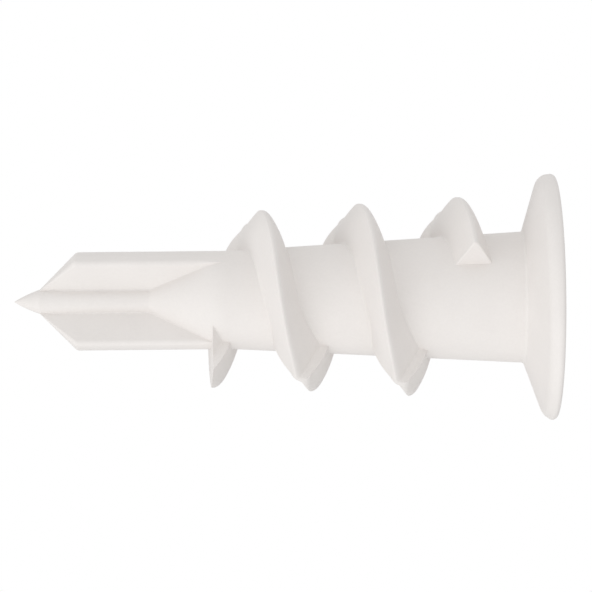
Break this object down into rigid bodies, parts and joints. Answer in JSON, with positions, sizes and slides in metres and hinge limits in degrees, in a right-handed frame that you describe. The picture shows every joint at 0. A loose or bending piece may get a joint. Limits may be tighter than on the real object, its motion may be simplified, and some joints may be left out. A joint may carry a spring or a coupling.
{
  "type": "wall anchor",
  "caption": "Self-drilling wall anchor of white nylon: pilot spike with drill wings, fluted nose, tapered shank with a coarse thread, and a flanged head with a cross recess and screw bore.",
  "frame": {"origin": "centre of the head's outer face, which ends flush with the face of the wall", "axes": "X along the anchor: +X out of the wall, from the spike to the head; -X into the wall. One drill wing stands on the +Z side and one on the -Z side, and the flutes face -Y and +Y."},
  "size_m": [0.033, 0.015, 0.015],
  "materials": {
    "nylon": "satin moulded white nylon"
  },
  "bodies": {
    "root": {"pilot_spike": "nylon", "upper_drill_wing": "nylon", "lower_drill_wing": "nylon", "nose_cone": "nylon", "shank": "nylon", "head_flange": "nylon", "thread_start": "nylon", "thread_front_1": "nylon", "thread_rear_1": "nylon", "thread_front_2": "nylon", "thread_rear_2": "nylon", "thread_end": "nylon"}
  },
  "joints": []
}
